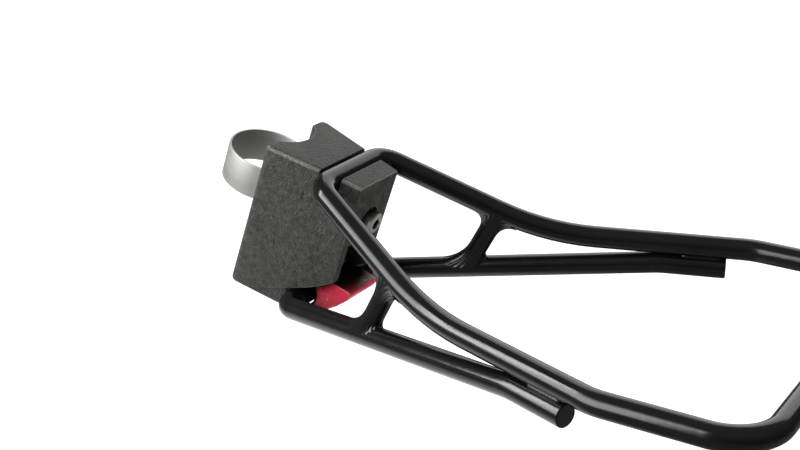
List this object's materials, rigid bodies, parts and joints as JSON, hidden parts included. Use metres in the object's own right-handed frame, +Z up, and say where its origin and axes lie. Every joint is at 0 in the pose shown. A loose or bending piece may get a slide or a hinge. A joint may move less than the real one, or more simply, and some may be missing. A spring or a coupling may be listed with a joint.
{
  "type": "saddle bag mount",
  "caption": "Seat post clamp block with a hook, a slot and a sprung red catch that carry the bent rod frame of a saddle bag.",
  "frame": {"origin": "on the seat post's axis, level with the bottom plane of the housing", "axes": "+Z up along the seat post's axis, +X rearwards to the bag, +Y to the right of the bicycle"},
  "size_m": [0.2318, 0.144, 0.0933],
  "materials": {
    "housing_plastic": "fine pebbled texture, matt",
    "lever_plastic": "glossy red",
    "band_steel": "satin rolled strip",
    "zinc_steel": "zinc plated, satin",
    "pin_steel": "ground",
    "spring_steel": "drawn wire",
    "screw_steel": "black oxide, satin",
    "rod_enamel": "gloss black enamel"
  },
  "bodies": {
    "adapter": {"housing": "housing_plastic", "clamp_band": "band_steel", "band_pin_left": "pin_steel", "band_pin_right": "pin_steel", "draw_block": "zinc_steel", "clamp_screw": "screw_steel", "screw_washer": "zinc_steel", "lever_pin": "pin_steel", "lever_spring": "spring_steel"},
    "release_lever": {"release_lever": "lever_plastic"},
    "bag_frame": {"upper_loop": "rod_enamel", "lower_loop": "rod_enamel", "strut_left": "rod_enamel", "strut_right": "rod_enamel", "strut_welds": "rod_enamel", "tail_welds": "rod_enamel", "closing_weld": "rod_enamel"}
  },
  "joints": [
    {"name": "frame_swing", "type": "hinge", "parent": "adapter", "child": "bag_frame", "pos_m": [0.03445, 0, 0.0568], "axis": [0, -1, 0], "range_deg": [0, 15]},
    {"name": "lever_press", "type": "hinge", "parent": "adapter", "child": "release_lever", "pos_m": [0.036, 0, 0.017], "axis": [0, -1, 0], "range_deg": [0, 66], "stiffness_Nm_per_rad": 0.02, "deforming": ["lever_spring"]}
  ],
  "couplings": [
    {"joint": "lever_press", "follows": "frame_swing", "ratio": 4.4}
  ]
}
